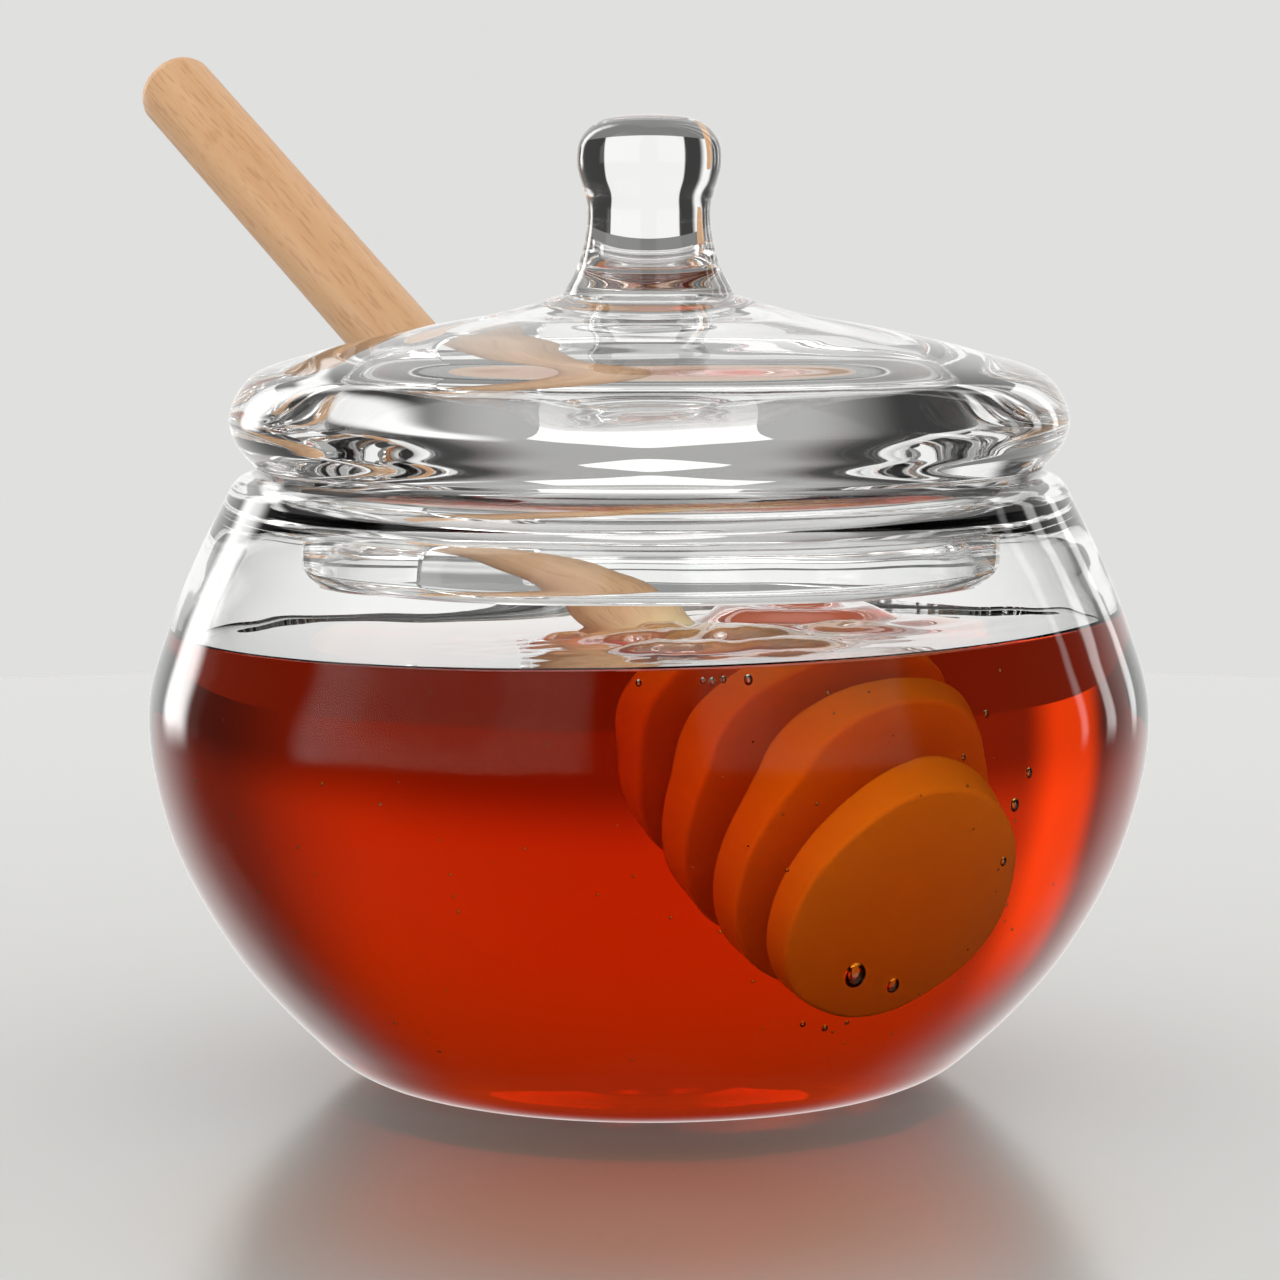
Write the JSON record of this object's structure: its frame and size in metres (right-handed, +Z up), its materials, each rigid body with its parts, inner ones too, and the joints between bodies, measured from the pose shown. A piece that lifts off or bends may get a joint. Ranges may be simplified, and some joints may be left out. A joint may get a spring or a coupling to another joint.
{
  "type": "honey jar",
  "caption": "Round clear glass jar of honey with a knobbed glass lid, and a turned wooden dipper standing in it through a notch in the lid.",
  "frame": {"origin": "middle of the flat underside of the jar, on the surface it stands on", "axes": "+Z up along the jar's axis, -Y the side seen in front, the dipper leaning to -X and +Y"},
  "size_m": [0.1202, 0.1317, 0.1163],
  "materials": {
    "glass": "clear polished colourless glass",
    "honey": "clear deep amber honey, wet and glossy",
    "wood": "bare light beech, finely sanded, satin"
  },
  "bodies": {
    "root": {"jar": "glass", "lid": "glass", "honey": "honey", "dipper": "wood"}
  },
  "joints": []
}
